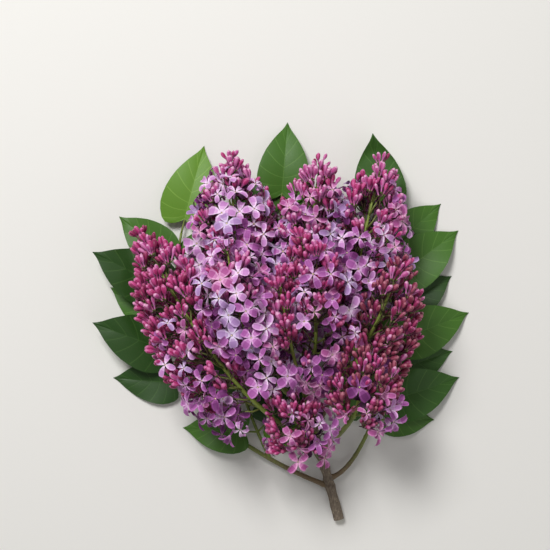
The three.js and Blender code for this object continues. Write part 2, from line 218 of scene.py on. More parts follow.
def stamp(shape, places, axes, spins, sizes, tones=0, tone_slots=1, fixed_slots=0):
    """A small shape set down many times. Its Z goes along each axis, turned by the spin, at the
    size given. Slots from fixed_slots up are moved on by the tone, in steps of tone_slots."""
    points, faces, slots = shape
    n = len(places)
    side, third = square_to(axes)
    across, deep = spokes(side, third, spins), spokes(third, -side, spins)
    local = points * np.broadcast_to(np.reshape(sizes, (n, -1)), (n, 3))[:, None]
    moved = places[:, None] + local[..., :1] * across[:, None]
    moved = moved + local[..., 1:2] * deep[:, None] + local[..., 2:] * axes[:, None]
    all_faces = np.where(faces < 0, -1, faces + np.arange(n)[:, None, None] * len(points))
    tones = np.broadcast_to(tones, n)[:, None] * tone_slots
    all_slots = np.where(slots >= fixed_slots, slots + tones, slots)
    return moved.reshape(-1, 3), all_faces.reshape(-1, 4), all_slots.reshape(-1)


def linear(colour):
    """An sRGB hex colour as the linear colour that Blender's sockets take."""
    channels = np.array([int(colour[i : i + 2], 16) for i in (1, 3, 5)]) / 255
    low, high = channels / 12.92, ((channels + 0.055) / 1.055) ** 2.4
    return (*np.where(channels <= 0.04045, low, high), 1)


def node(material, kind, sockets, **settings):
    """Adds a node: settings are its own values; a socket takes a value or another's output."""
    made = material.node_tree.nodes.new("ShaderNode" + kind)
    for key, value in settings.items():
        setattr(made, key, value)
    for key, value in sockets.items():
        if isinstance(value, bpy.types.NodeSocket):
            material.node_tree.links.new(value, made.inputs[key])
        else:
            made.inputs[key].default_value = value
    return made


def plant_finish(name, colour, roughness, grain_mm, bump, stretch=(1, 1, 1), second=None, **shader):
    """A colour under a fine grain: noise at grain_mm moves the roughness by a tenth and lifts
    the surface by up to `bump` mm. A second colour comes in as (colour, attribute): it grows
    with the mesh's attribute plus the grain, or without an attribute with the grain alone."""
    material = bpy.data.materials.new(name)
    material.use_nodes = True
    material.node_tree.nodes.clear()
    place = node(material, "TexCoord", {}).outputs["Object"]
    scaled = node(material, "Mapping", {"Vector": place, "Scale": stretch}).outputs["Vector"]
    noise = {"Vector": scaled, "Scale": 1 / (grain_mm * MM), "Detail": 2.0}
    grain = node(material, "TexNoise", noise).outputs["Fac"]
    rough = {"Value": grain, "To Min": roughness - 0.1, "To Max": roughness + 0.1}
    rough = node(material, "MapRange", rough).outputs["Result"]
    lifted = {"Height": grain, "Strength": 1.0, "Distance": bump * MM}
    lifted = node(material, "Bump", lifted).outputs["Normal"]
    base_colour = linear(colour)
    if second:
        second_colour, attribute = second
        share, least, most = grain, 0.3, 0.7
        if attribute:
            grown = node(material, "Attribute", {}, attribute_name=attribute).outputs["Fac"]
            share = node(material, "Math", {0: grown, 1: grain}, operation="ADD").outputs["Value"]
            least, most = 0.7, 1.3
        share = {"Value": share, "From Min": least, "From Max": most}
        share = node(material, "MapRange", share).outputs["Result"]
        # A colour mix has its two colours at the numbers 6 and 7, and gives one out at 2.
        mixed = {0: share, 6: base_colour, 7: linear(second_colour)}
        base_colour = node(material, "Mix", mixed, data_type="RGBA").outputs[2]
    sockets = {"Base Color": base_colour, "Roughness": rough, "Normal": lifted}
    sockets |= {key.replace("_", " "): value for key, value in shader.items()}
    surface = node(material, "BsdfPrincipled", sockets).outputs["BSDF"]
    node(material, "OutputMaterial", {"Surface": surface})
    return material


def toned_finishes(kind, tones, parts, *finish, **shader):
    """A finish for each part in each tone, tone by tone."""
    return [
        plant_finish(f"{kind}_{tone}_{part}", colour, *finish, **shader)
        for tone, colours in tones.items()
        for part, colour in zip(parts, colours)
    ]


# Dead outer bark is matt and grey-brown; its grain shows as short dull streaks.
bark = plant_finish("lilac_bark", "#5f5144", 0.8, 1.6, 0.3, (1, 0.35, 1), ("#8a7d6c", None))
# Corky breathing pores are the bark's palest spots.
cork = plant_finish("lenticel_cork", "#a89b86", 0.85, 0.5, 0.1)
# Fresh cut wood is pale and a little moist; the cambium under the bark is bright green.
cut_wood = plant_finish("fresh_cut_wood", "#d9cda2", 0.55, 0.5, 0.08)
cambium = plant_finish("cut_cambium", "#86923f", 0.5, 0.5, 0.05)
pith = plant_finish("stem_pith", "#b39d6d", 0.8, 0.4, 0.1)

rng = np.random.default_rng(1)
stem = limbs["main_stem"]
rise = np.linspace(0, 1, STEM_ROWS)
around = even_turns(STEM_SIDES)
wrinkles = np.zeros((STEM_ROWS, STEM_SIDES))
# A set of ridges is 1 - 2 |sin| round the stem; it wanders as it climbs, and fades in and out.
for count in WRINKLE_COUNTS:
    wander = 2.5 * np.sin(rise * rng.uniform(4, 16) + rng.uniform(0, 6))
    ridge = np.sin(count * around + wander[:, None] + rng.uniform(0, 6))
    wrinkles += (1 - 2 * np.abs(ridge)) * np.sin(rise * rng.uniform(20, 50))[:, None]
wrinkles *= BARK_WRINKLE
swelling = sum(np.exp(-(((rise - s) / NODE_WIDTH) ** 2)) for s in SHOOT_NODES)
bark_radius = stem.radius(rise)[:, None] * SKIN_SHARE + wrinkles
bark_radius += NODE_SWELLING * swelling[:, None]
cut_rows = np.repeat(CUT_RINGS[:, None], STEM_SIDES, 1)
s_rows = np.append(np.zeros(len(CUT_RINGS)), rise)
stem_rings = rings(
    stem.point(s_rows), stem.heading(s_rows), np.vstack([cut_rows, bark_radius]), STEM_SIDES
)
stem_skin = closed_tube(stem_rings, [3, 1, 1, 2] + [0] * (STEM_ROWS + 1))


def dome_shape(slot):
    """A flat dome on six sides: a ring sunk to -0.3, and one 0.6 as wide at height 0.7."""
    low, high = circle(6) - 0.3 * UP, circle(6) * 0.6 + 0.7 * UP
    return closed_tube(np.stack([low, high]), [slot] * 3)


def lenticels(limb, count, size, slot):
    """Low domes scattered over a limb's skin."""
    s = rng.uniform(0.02, 0.98, count)
    headings = limb.heading(s)
    side, third = square_to(headings)
    turn = rng.uniform(0, 2 * np.pi, count)
    out = spokes(side, third, turn)
    places = limb.point(s) + out * limb.radius(s)[:, None] * SKIN_SHARE
    sizes = size * rng.uniform(0.6, 1.2, (count, 1)) * np.array([0.6, 0.6, 0.35])
    return stamp(dome_shape(slot), places, out, turn, sizes)


stem_pores = lenticels(stem, count=150, size=1.0, slot=4)
stem_finishes = [bark, cut_wood, cambium, pith, cork]
build("woody_stem", [stem_skin, stem_pores], stem_finishes, "main_stem")

# ------------------------ the boughs and shoots
# This year's wood: smooth green shoots, browner towards their feet, each swollen where it
# stands on what carries it, with a few pale pores.

JOIN_GAP = 0.3
END_SINK = 1.5
SHOOT_SIDES = 16
SHOOT_ROWS = 40
FOOT_SHARE = 0.9  # the radius inside the carrier, as a share of the one at the foot
FLARE, FLARE_LENGTH = 0.25, 3.0
SCARS, SCAR_SWELLING, SCAR_LENGTH = 6, 0.07, 1.8  # of the leaves that stood along a limb


def grow(name, on, along, tip, radii, bend=None):
    """A limb on a share of its carrier's length. Its foot just misses the carrier; it has one
    bend on the way to its tip. At its carrier's end it goes on in the carrier's direction."""
    carrier = limbs[on]
    middle, ahead = carrier.point(along), carrier.heading(along)
    tip = np.array(tip, float)
    if along == 1:
        foot = middle + ahead * JOIN_GAP
        knee = foot + ahead * 0.4 * np.linalg.norm(tip - foot)
        sink = END_SINK
    else:
        knee = np.array(bend, float)
        toward = unit(knee - middle)
        cosine = ahead @ toward
        clear = carrier.radius(along) + JOIN_GAP + radii[0] * abs(cosine)
        foot = middle + toward * clear / np.sqrt(1 - cosine**2)
        sink = np.linalg.norm(foot - middle)
    limbs[name] = Limb([foot, knee, tip], radii)
    limbs[name].sink = sink
    return limbs[name]


def limb_skin(limb, sides, rows, slot):
    """A limb's round skin, flared at its foot and carried on back from there to the middle of
    its carrier, with a faint swelling at each old leaf scar."""
    s = np.linspace(0, 1, rows)
    flare = 1 + FLARE * np.exp(-s * limb.length / FLARE_LENGTH)
    from_scar = ((s * SCARS + 0.5) % 1 - 0.5) * limb.length / SCARS
    swell = 1 + SCAR_SWELLING * np.exp(-((from_scar / SCAR_LENGTH) ** 2))
    middles = np.vstack([limb.point(0) - limb.heading(0) * limb.sink, limb.point(s)])
    headings = np.vstack([limb.heading(0), limb.heading(s)])
    radii = np.append(limb.radii[0] * FOOT_SHARE, limb.radius(s) * flare * swell)
    return closed_tube(rings(middles, headings, radii, sides), [slot] * (rows + 2))


# Young bark is waxy and green towards the tip, and turns brown and duller with age.
shoot_bark = plant_finish(
    "young_shoot_bark", "#6f5c42", 0.55, 1.2, 0.08, (1, 0.5, 1), ("#74843a", "along")
)

# Each limb's name, carrier, share along the carrier, bend, tip, and radii at its foot and tip.
for name, on, along, bend, tip, radii in [
    ("bough_left", "main_stem", 0.32, (0, -200, 7), (-56, -160, 8), (2.6, 1.9)),
    ("bough_right", "main_stem", 0.4, (80, -204, 8), (99, -160, 8), (2.5, 1.9)),
    ("bough_under", "main_stem", 0.52, (16, -140, 7), (8, -10, 8), (2.4, 1.8)),
    ("shoot_left", "main_stem", 0.7, (22, -164, 56), (-4, -142, 74), (3.0, 2.5)),
    ("shoot_low_right", "main_stem", 0.7, (66, -164, 58), (78, -142, 80), (2.8, 2.4)),
    ("shoot_back_left", "main_stem", 0.9, (4, -112, 46), (-24, -30, 54), (2.9, 2.4)),
    ("shoot_back_right", "main_stem", 0.9, (66, -112, 46), (74, -50, 54), (2.9, 2.4)),
    ("shoot_centre", "main_stem", 1, None, (30, -46, 54), (3.0, 2.4)),
]:
    limb = grow(name, on, along, tip, radii, bend)
    skin = limb_skin(limb, SHOOT_SIDES, SHOOT_ROWS, 0)
    pores = lenticels(limb, count=36, size=0.6, slot=1)
    share = np.repeat(np.append(0, np.linspace(0, 1, SHOOT_ROWS)), SHOOT_SIDES)
    share = np.concatenate([share, [0, 1], np.zeros(len(pores[0]))])
    build(name + "_bark", [skin, pores], [shoot_bark, cork], name, share)

# ------------------------ the flower stalks and twigs
# The limbs that carry flowers and leaves: green stalks that run up through the panicles, each
# with its flowers in a space of its own, and leafy twigs that lie flat under them.

# `radius` is the flowers' greatest reach, `bare` the stalk's share below them, `open` the share
# of them in full flower, base first. On the stretch `parted` they leave the stalk in view from
# above. `turn` is the angle that the flowers' golden turns start from.
PANICLES = {
    "panicle_left": dict(
        on="shoot_left", along=1, tip=(-132, 34, 64),
        radius=54, bare=0.12, parted=(0.1, 0.36), flowers=54, open=0.16, turn=30,
    ),
    "panicle_back_left": dict(
        on="shoot_back_left", along=1, tip=(-44, 106, 64),
        radius=55, bare=0.02, flowers=56, open=0.66, turn=10,
    ),
    "panicle_back_centre": dict(
        on="shoot_centre", along=1, tip=(44, 104, 64),
        radius=50, bare=0.05, flowers=46, open=0.62, turn=50,
    ),
    "panicle_back_right": dict(
        on="shoot_back_right", along=1, tip=(106, 104, 62),
        radius=52, bare=0.04, parted=(0.64, 0.74), flowers=50, open=0.52, turn=20,
    ),
    "panicle_front_left": dict(
        on="shoot_back_left", along=0.22, bend=(-36, -74, 112), tip=(-46, 24, 124),
        radius=56, bare=0.14, flowers=46, open=1.2, turn=40,
    ),
    "panicle_centre": dict(
        on="shoot_centre", along=0.35, bend=(50, -60, 108), tip=(28, 28, 126),
        radius=52, bare=0.15, parted=(0.3, 0.42), flowers=46, open=0.7, turn=0,
    ),
    "panicle_right": dict(
        on="shoot_back_right", along=0.42, bend=(96, -70, 84), tip=(122, 4, 90),
        radius=50, bare=0.14, parted=(0.45, 0.8), flowers=46, open=0.06, turn=70,
    ),
    "panicle_low_right": dict(
        on="shoot_low_right", along=1, tip=(74, -58, 108),
        radius=44, bare=0.08, flowers=38, open=-0.1, turn=15,
    ),
    "panicle_low": dict(
        on="main_stem", along=0.86, bend=(36, -164, 84), tip=(-16, -110, 104),
        radius=41, bare=0.28, flowers=28, open=0.12, turn=60,
    ),
    "panicle_small": dict(
        on="shoot_centre", along=0.12, bend=(14, -74, 124), tip=(4, -6, 144),
        radius=28, bare=0.5, flowers=18, open=0.0, turn=25,
    ),
}
# `pairs` of leaves stand on a twig, `length` long at most, `spread` degrees from its direction.
SPRAYS = {
    "leaves_low": dict(
        on="bough_left", along=0.5, bend=(-22, -158, 8), tip=(-32, -128, 9),
        pairs=1, length=64, spread=62, turn=3,
    ),
    "leaves_left": dict(
        on="bough_left", along=1, tip=(-98, 44, 9), pairs=3, length=80, spread=60, turn=11
    ),
    "leaves_top": dict(
        on="bough_under", along=1, tip=(6, 70, 9), pairs=1, length=76, spread=48, turn=37
    ),
    "leaves_right": dict(
        on="bough_right", along=1, tip=(114, 58, 9), pairs=3, length=75, spread=60, turn=45
    ),
}
RACHIS_RADII = (2.3, 0.9)
TWIG_RADII = (1.8, 1.3)
LEAST_REACH = 20
CELL_STEPS = 24
FLOWER_FLOOR = 18.5  # the lowest that flowers reach, above the leaves
LIMB_GAP = 2.0  # from flowers to the limbs of other pieces
STALK_DEPTH = 2.0  # what is lower than this under a stalk's middle line doesn't hide it

for name, p in PANICLES.items():
    grow(name, p["on"], p["along"], p["tip"], RACHIS_RADII, p.get("bend"))
for name, p in SPRAYS.items():
    grow(name, p["on"], p["along"], p["tip"], TWIG_RADII, p.get("bend"))


def reach_at(panicle, s):
    """How far the flowers reach at s: their greatest reach, times 1.68 (q + 0.12)^0.35
    (1.03 - q)^0.7, with q from 0 at the lowest flowers to 1 at the tip."""
    q = (s - panicle["bare"]) / (1 - panicle["bare"])
    return panicle["radius"] * 1.68 * (q + 0.12) ** 0.35 * (1.03 - q) ** 0.7


ORDER = list(PANICLES)
cell_points, cell_reach = [], []
for name, p in PANICLES.items():
    s = np.linspace(p["bare"], 1, CELL_STEPS + 1)
    cell_points.append(limbs[name].point(s))
    cell_reach.append(np.maximum(reach_at(p, s), LEAST_REACH))
cell_points, cell_reach = np.concatenate(cell_points), np.concatenate(cell_reach)


def limb_samples(count):
    """Points at even shares of every limb, as (the limb's name, the point, the radius there)."""
    s = np.linspace(0, 1, count)
    points = np.concatenate([limb.point(s) for limb in limbs.values()])
    radii = np.concatenate([limb.radius(s) for limb in limbs.values()])
    return np.repeat(list(limbs), count), points, radii


limb_names, limb_points, limb_radii = limb_samples(25)


def distances(points, others):
    """From each point to each of the others."""
    square = (points**2).sum(1)[:, None] + (others**2).sum(1) - 2 * points @ others.T
    return np.sqrt(np.maximum(square, 0))


def shares_of(points):
    """How far each point is from each panicle's stalk, as a share of the panicle's reach."""
    apart = distances(points, cell_points) / cell_reach
    return apart.reshape(len(points), len(ORDER), CELL_STEPS + 1).min(2)


def in_own_space(name, points, most, margin=0.025):
    """True where a point is in the panicle's own space, above the leaves and off the limbs."""
    share = shares_of(points)
    own = share[:, ORDER.index(name)]
    others = np.delete(share, ORDER.index(name), 1).min(1)
    floor = FLOWER_FLOOR + np.maximum(0, own - 1) * PANICLES[name]["radius"]
    foreign = limb_names != name
    clear = distances(points, limb_points[foreign]) - limb_radii[foreign]
    among = (own < most) & (others > own + margin)
    return among & (points[:, 2] > floor) & (clear.min(1) > LIMB_GAP)


def room_along(name, feet, directions, wanted, most=1.35, step=1.0):
    """How far one can go from each foot, in steps, up to the wanted length, in the own space."""
    marks = np.arange(1, int(np.max(wanted, initial=0) / step) + 2) * step
    points = feet[:, None] + directions[:, None] * marks[:, None]
    free = in_own_space(name, points.reshape(-1, 3), most).reshape(len(feet), len(marks))
    gone = np.logical_and.accumulate(free, axis=1).sum(1) * step
    return np.minimum(gone, np.ceil(wanted))


def outward(along, turn, lean):
    """The direction out of a stalk, `turn` about it and leaning forward by `lean`."""
    side, third = square_to(along)
    return spokes(along, spokes(side, -third, turn), lean)


parted_points = []
for name, p in PANICLES.items():
    if "parted" in p:
        parted_points.append(limbs[name].point(np.linspace(*p["parted"], 25)))
parted_points = np.concatenate(parted_points)


def off_partings(points, margin):
    """True where a point doesn't hide a parted stalk: none of it is below within the margin."""
    gap = points[:, None] - parted_points
    over = (np.hypot(gap[..., 0], gap[..., 1]) < margin) & (gap[..., 2] > -STALK_DEPTH)
    return ~over.any(1)


def jitter(n):
    """A repeatable value from -1 to 1 for each number."""
    x = np.sin(np.asarray(n, float) * 12.9898 + 4.1414) * 43758.5453
    return 2 * (x - np.floor(x)) - 1


# ------------------------ florets
# An open lilac floret: a slim tube in a small green cup, and four soft petals that spread, bend
# back and cup a little. Their rims and throat are pale, their middles deeper.

PETAL_ROWS = np.array([0, 0.2, 0.42, 0.68, 0.9, 1])
PETAL_WIDTHS = np.array([0.2, 0.58, 0.92, 1, 0.74, 0.34])
PETAL_COLUMNS = np.array([-1, -0.62, 0.62, 1])
PETAL_SLOTS = [2, 2, 2, 2, 3, 2, 3, 4, 3, 3, 4, 3, 3, 3, 3]  # row by row: pale, rim or face
PETAL_LENGTH = 11.2
PETAL_HALF_WIDTH = 3.55
MOUTH = 0.9
TUBE = 9.0
TUBE_RINGS = ((0.5, -TUBE - 1), (1.2, -TUBE + 1), (1.1, -0.2))  # radii and heights
GOLDEN = np.radians(137.5)


def grid_faces(rows, columns):
    """The quads of a grid of points, counted along its rows."""
    corner = (np.arange(rows - 1)[:, None] * columns + np.arange(columns - 1)).ravel()
    return np.stack([corner, corner + columns, corner + columns + 1, corner + 1], -1)


def floret_shape(rise, curl, cup, wide, seed):
    """Four petals round a tube's mouth. Each one's middle line leaves the mouth at `rise`
    degrees above flat and turns down by `curl` degrees to its tip, as t^1.3. Across it a petal
    is lifted at its rims by cup times the half width, and its section turns by a twist."""
    own = np.random.default_rng(seed)
    surfaces = []
    for k in range(4):
        turn = np.radians(90 * k + own.uniform(-9, 9))
        slope = rise + own.uniform(-12, 12) - curl * own.uniform(0.7, 1.3) * PETAL_ROWS**1.3
        slope = np.radians(slope)[:, None]
        step = np.diff(PETAL_ROWS)[:, None] * PETAL_LENGTH * own.uniform(0.9, 1.1)
        between = (slope[1:] + slope[:-1]) / 2
        out = MOUTH + np.vstack([[0], np.cumsum(np.cos(between) * step, axis=0)])
        high = np.vstack([[0], np.cumsum(np.sin(between) * step, axis=0)])
        half = (PETAL_HALF_WIDTH * wide * own.uniform(0.88, 1.1) * PETAL_WIDTHS)[:, None]
        twist = np.radians(own.uniform(-22, 22)) * PETAL_ROWS[:, None]
        sideways = half * PETAL_COLUMNS
        lift = cup * half * PETAL_COLUMNS**2
        normal = lift * np.cos(twist) + sideways * np.sin(twist)
        across = sideways * np.cos(twist) - lift * np.sin(twist)
        back = 0.5 * (PETAL_ROWS[:, None] > 0.95) * PETAL_COLUMNS**2
        radial = out - np.sin(slope) * normal - np.cos(slope) * back
        height = high + np.cos(slope) * normal - np.sin(slope) * back
        x = radial * np.cos(turn) - across * np.sin(turn)
        y = radial * np.sin(turn) + across * np.cos(turn)
        points = np.stack([x, y, height], -1).reshape(-1, 3)
        surfaces.append((points, grid_faces(len(PETAL_ROWS), 4), np.array(PETAL_SLOTS)))
    tube = [circle(3) * radius + UP * height for radius, height in TUBE_RINGS]
    surfaces.append(closed_tube(np.stack(tube), [1, 1, 4, 0]))
    return joined(surfaces)


# The rise, curl, cup and width of eight florets, from flat ones to half open and bent back ones.
FLORET_FORMS = [
    (15, 45, 0.5, 1.0), (28, 85, 0.6, 0.95), (5, 25, 0.7, 0.78), (38, 110, 0.45, 0.82),
    (20, 60, 0.3, 1.1), (40, 200, 0.3, 0.62), (62, 50, 0.6, 0.8), (30, 150, 0.1, 0.75),
]
FLORETS = [floret_shape(*form, seed) for seed, form in enumerate(FLORET_FORMS)]
# How the eight are shared out in full flower, and in bunches that are just opening.
OPEN_KINDS = [0.22, 0.2, 0.15, 0.13, 0.16, 0.03, 0.05, 0.06]
OPENING_KINDS = [0.08, 0.14, 0.08, 0.12, 0.05, 0.17, 0.22, 0.14]
BENT_KINDS = [1, 3, 5, 7]  # of florets seen from their side

# ------------------------ buds
# A closed bud: a slim tube in its cup, with a long round head of four folded petals, deep magenta,
# with painted highlights: paler stripes on every other side of the head and a paler tip.

BUD_LENGTH = 15.4


def bud_shape(head, swell, bend):
    """A profile turned on six sides: heights and radii from the cup to the tip; the whole leans
    over by bend times the height squared. Every other side of the head takes the paler ridge slot,
    a painted highlight stripe with no ridge in the shape, and the top row and the tip's fan take
    the pale tip slot, also a painted highlight."""
    heights = np.array([0, 1.8, 2.0, 6.0, 8.4, 11.2, 13.8, 15.4])
    radii = np.array([0.5, 1.1, 0.65, 0.85, 0.74 * head, head, 0.8 * head, 0.25 * head])
    heights = heights * np.array([1, 1, 1, swell, swell, 1, 1, 1])
    skin = circle(6) * radii[:, None, None] + UP * heights[:, None, None]
    skin[..., 0] += bend * heights[:, None] ** 2
    # The top row and the tip's fan take the pale tip slot, a painted highlight.
    points, faces, slots = closed_tube(skin, [0, 0, 0, 1, 1, 2, 2, 4, 4])
    # Every other side of the head moves to the paler ridge slot: a painted highlight stripe.
    ridge = (np.arange(len(slots)) % 2 == 1) & (slots == 2)
    return points, faces, slots + ridge


BUDS = [bud_shape(2.45, 1, 0.004), bud_shape(2.8, 0.92, 0.008), bud_shape(2.1, 1.06, 0.002)]


def bract_shape(slot):
    """A narrow green leaf scrap, 7 mm long, bent along its length: three rows of a grid."""
    t = np.array([0, 0.5, 1])[:, None]
    x = np.array([-1, 0, 1]) * np.array([0.5, 1.3, 0.15])[:, None]
    y = 0.3 * np.abs(x) + 1.5 * t**2
    z = np.repeat(7.0 * t, 3, 1)
    return np.stack([x, y, z], -1).reshape(-1, 3), grid_faces(3, 3), np.full(4, slot)


# ------------------------ heads
# A panicle: pairs of side branches stand on the stalk and fork to small bunches, each a fan of
# buds or a few open florets on short stalks. They keep to the panicle's space.

HUBS_PER_FLOWER = 7  # hubs are where bunches fork; these are tried for each flower of the solid
HUB_SPACING = 12.5  # on the lower part of a head; they crowd towards its tip
LEAST_ROOM = 7.0
BUNCH_DEPTH = 19.0  # from the shell of the head in to where a bunch forks
BUD_BUNCH_DEPTH = 13.0
JUST_OPEN = 0.15  # an open bunch this near to a closed one has half-open florets, and buds too
FLORETS_TRIED, FLORET_CONE, FLORET_REACH = 16, 75.0, 22.0  # at each open hub
LEAST_REACHED = 6.0  # a floret with less room than this is left out
FACE_SPACING = 16.5
FLORET_SIZES, BUD_SIZES = (0.92, 1.26), (0.84, 1.16)
FACING = (0.75, 0.5, 0.38, 0.3)  # shares of its bunch's way, its own, chance and up in its axis
INNER_DEPTH = (8.0, 13.0)  # of the layer of florets behind the first
DEEP_HUB = 14.0  # florets nearer to their hub than this have none behind them
BUDS_TRIED, BUD_CONE, BUD_START = 12, 35.0, (2.5, 7.0)  # in each fan, which starts off its hub
FANS_IN_FLOWER = 0.2  # the share of open hubs that have a fan of buds too
ROOMY = 24.0  # with less room than this a bunch's buds are smaller
TIP_SPACING = 5.3
FLORET_TO_TIP = 4.5
FLORET_PARTING = 15.0  # how far floret faces keep from the line over a parted stalk
BUD_PARTING = 6.0
PAIR_SPACING = 14.0
FORK = 0.55  # where a side branch forks, as a share of its reach
SIDEWAYS = 0.25  # an axis that rises less than this belongs to a floret seen from its side
UPRIGHT = (0.6, 0.5, 0.45)  # a bunch of buds: its shares of outwards, along the stalk and +Y
BUNCH_RISE = 0.55  # how much of its rise off the floor's plane a bunch of buds keeps
HUBS_PER_BRACT = 6
TOP = cad_bounds[1][2] / MM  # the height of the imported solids, which the flowers keep to
PETAL_LIFT = 7.0  # how far under it the florets' mouths stay, so that their petals do too


def flower_places(name, p, count):
    """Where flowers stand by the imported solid's rule. The n-th of count is at the share q = 1 -
    (1 - (n + 0.5) / count)^0.62 of the flowering stretch and turned by n golden angles; its lean
    goes from 82 degrees at the lowest to 12 at the tip, as q^1.6. Gives each one's q, its share
    of the whole stalk, its foot, its direction and the room that it has."""
    n = np.arange(count)
    q = 1 - (1 - (n + 0.5) / count) ** 0.62
    s = p["bare"] + (1 - p["bare"]) * q
    lean = np.radians(82 + (12 - 82) * q**1.6)
    direction = outward(limbs[name].heading(s), n * GOLDEN + np.radians(p["turn"]), lean)
    wanted = np.maximum(reach_at(p, s) * (1 + 0.1 * jitter(n)), LEAST_REACH)
    feet = limbs[name].point(s)
    return q, s, feet, direction, room_along(name, feet, direction, wanted)


def golden_cone(axes, count, widest, rng):
    """Directions in a cone about each axis, spread evenly: the k-th leans by widest times the
    root of k / count and turns by the golden angle."""
    k = np.arange(count) + 0.5
    lean = np.radians(widest) * np.sqrt(k / count)
    turn = k * GOLDEN + rng.uniform(0, 6.3, (len(axes), 1))
    side, third = square_to(axes)
    return spokes(axes[:, None], spokes(side[:, None], third[:, None], turn), lean)


def spaced(points, least, taken=()):
    """The numbers of the points that, one after another, keep `least` from those taken and all
    kept before; it is one distance, or one for each point."""
    least = np.broadcast_to(least, len(points))
    kept = np.full((len(points) + len(taken), 3), 1e6)
    count = len(taken)
    kept[:count] = np.reshape(taken, (count, 3))
    chosen = []
    for i, point in enumerate(points):
        if ((kept[:count] - point) ** 2).sum(1).min(initial=1e9) >= least[i] ** 2:
            kept[count] = point
            count += 1
            chosen.append(i)
    return np.array(chosen, int)


def stamp_kinds(shapes, kinds, values, tone_slots, fixed_slots):
    """Each shape stamped where its kind is called for. The values are those of every place: its
    points, axes, spins, sizes and tones."""
    return [
        stamp(shape, *(value[kinds == kind] for value in values), tone_slots, fixed_slots)
        for kind, shape in enumerate(shapes)
        if (kinds == kind).any()
    ]


def sticks(starts, ends, rng, radius, sides, bow, slot):
    """Thin tapering stalks of three rings; the middle one is off the straight line by bow
    times its length."""
    n = len(starts)
    line = ends - starts
    length = np.linalg.norm(line, axis=1, keepdims=True)
    heading = line / np.maximum(length, 1e-6)
    side, third = square_to(heading)
    off = (side * rng.normal(size=(n, 1)) + third * rng.normal(size=(n, 1))) * bow * length
    middles = np.stack([starts, (starts + ends) / 2 + off, ends], 1)
    flat = spokes(side[:, None], third[:, None], even_turns(sides))
    radii = radius * np.array([1.25, 1.0, 0.85])
    points = middles[:, :, None] + flat[:, None] * radii[:, None, None]
    # The faces are those of one closed tube, with the point numbers moved on for each stalk.
    _, one, slots = closed_tube(np.zeros((3, sides, 3)), [slot] * 4)
    points = np.concatenate([points.reshape(n, 3 * sides, 3), middles[:, [0, 2]]], 1)
    first = np.arange(n)[:, None, None] * (3 * sides + 2)
    faces = np.where(one < 0, -1, one + first)
    return points.reshape(-1, 3), faces.reshape(-1, 4), np.tile(slots, n)


# Petals are soft and matt with a faint silky sheen. Each tone has its throat, rim and face.
PETAL_TONES = {
    "lilac": ("#ecd0ec", "#d8a6d6", "#c386c3"),
    "mauve": ("#d8a8d4", "#b870b2", "#9f5399"),
    "violet": ("#d8c5e2", "#bc99c8", "#a780b6"),
    # deep is mauve darkened as painted shade, dealt among the florets and to the layer behind.
    "deep": ("#9c5a96", "#7f3a7a", "#682864"),
    "rose": ("#dea4ca", "#c47aae", "#aa5490"),
    # shade is darker still: painted shade for the layer of florets behind the first.
    "shade": ("#5e2e58", "#481e42", "#371532"),
}
# Shares of the first five tones in full flower: on the heads in front, then on those behind.
PETAL_MIXTURES = [(0.32, 0.32, 0.13, 0.12, 0.11), (0.48, 0.22, 0.16, 0.05, 0.09)]
FRESH_MIXTURE = (0.15, 0.3, 0.05, 0.15, 0.35)  # the same in bunches that are just opening
# The layer behind takes mauve, deep and shade: mostly painted shade, darker than the florets in
# front.
INNER_SHADE_TONES, INNER_MIXTURE = (1, 3, 5), (0.05, 0.35, 0.6)  # of the layer behind
silk = {"Sheen_Weight": 0.15, "Sheen_Roughness": 0.4, "Specular_IOR_Level": 0.25}
throat = plant_finish("floret_throat", "#dccaa0", 0.6, 0.4, 0.05)
calyx = plant_finish("calyx_green", "#5d6430", 0.6, 0.4, 0.05)
petals = toned_finishes("petal", PETAL_TONES, ("throat", "rim", "face"), 0.6, 0.5, 0.05, **silk)
floret_materials = [throat, calyx, *petals]
# Bud skin is smooth and tight with a waxy bloom: a paler tube and a rich head; the paler ridge
# stripes on the head and the pale tip are painted highlights.
BUD_TONES = {
    "crimson": ("#ac4c84", "#a42a66", "#c24c88", "#cc6ca0"),
    "dark": ("#74224a", "#7c1e48", "#962e5c", "#aa4a76"),
    "pink": ("#bc6ca4", "#b44a8a", "#cc76aa", "#dea0c4"),
    "dusky": ("#6e3048", "#802e48", "#9a4a60", "#ac6476"),
}
MIXED_BUDS = (0.45, 0.3, 0.25, 0)  # the shares of these four tones on most heads
BUD_MIXTURES = {
    "panicle_right": (0.15, 0.2, 0.1, 0.55),
    "panicle_low_right": (0.15, 0.2, 0.1, 0.55),
    "panicle_front_left": (0.2, 0.1, 0.7, 0),
    "panicle_back_left": (0.25, 0.05, 0.7, 0),
    "panicle_back_centre": (0.25, 0.05, 0.7, 0),
    "panicle_back_right": (0.35, 0.1, 0.55, 0),
}
wax = {"Specular_IOR_Level": 0.35, "Sheen_Weight": 0.03}
# The ridge and tip finishes of each tone are painted highlights.
skins = toned_finishes("bud", BUD_TONES, ("tube", "head", "ridge", "tip"), 0.45, 0.6, 0.05, **wax)
bud_materials = [calyx, *skins]
# Flower stalks are green; the finer they are, the more they are flushed with purple.
STALK, FINE, BRACT, BRANCH, TWIG = range(5)
stalk_finishes = [
    plant_finish("flower_stalk_green", "#8c9e45", 0.5, 0.6, 0.05),
    plant_finish("flower_stalk_purple", "#553039", 0.55, 0.6, 0.05),
    plant_finish("bract_green", "#4f7a2c", 0.5, 0.6, 0.05),
    plant_finish("side_branch_olive", "#727a3a", 0.5, 0.6, 0.05),
    plant_finish("flushed_flower_twig", "#5c5134", 0.55, 0.6, 0.05),
]

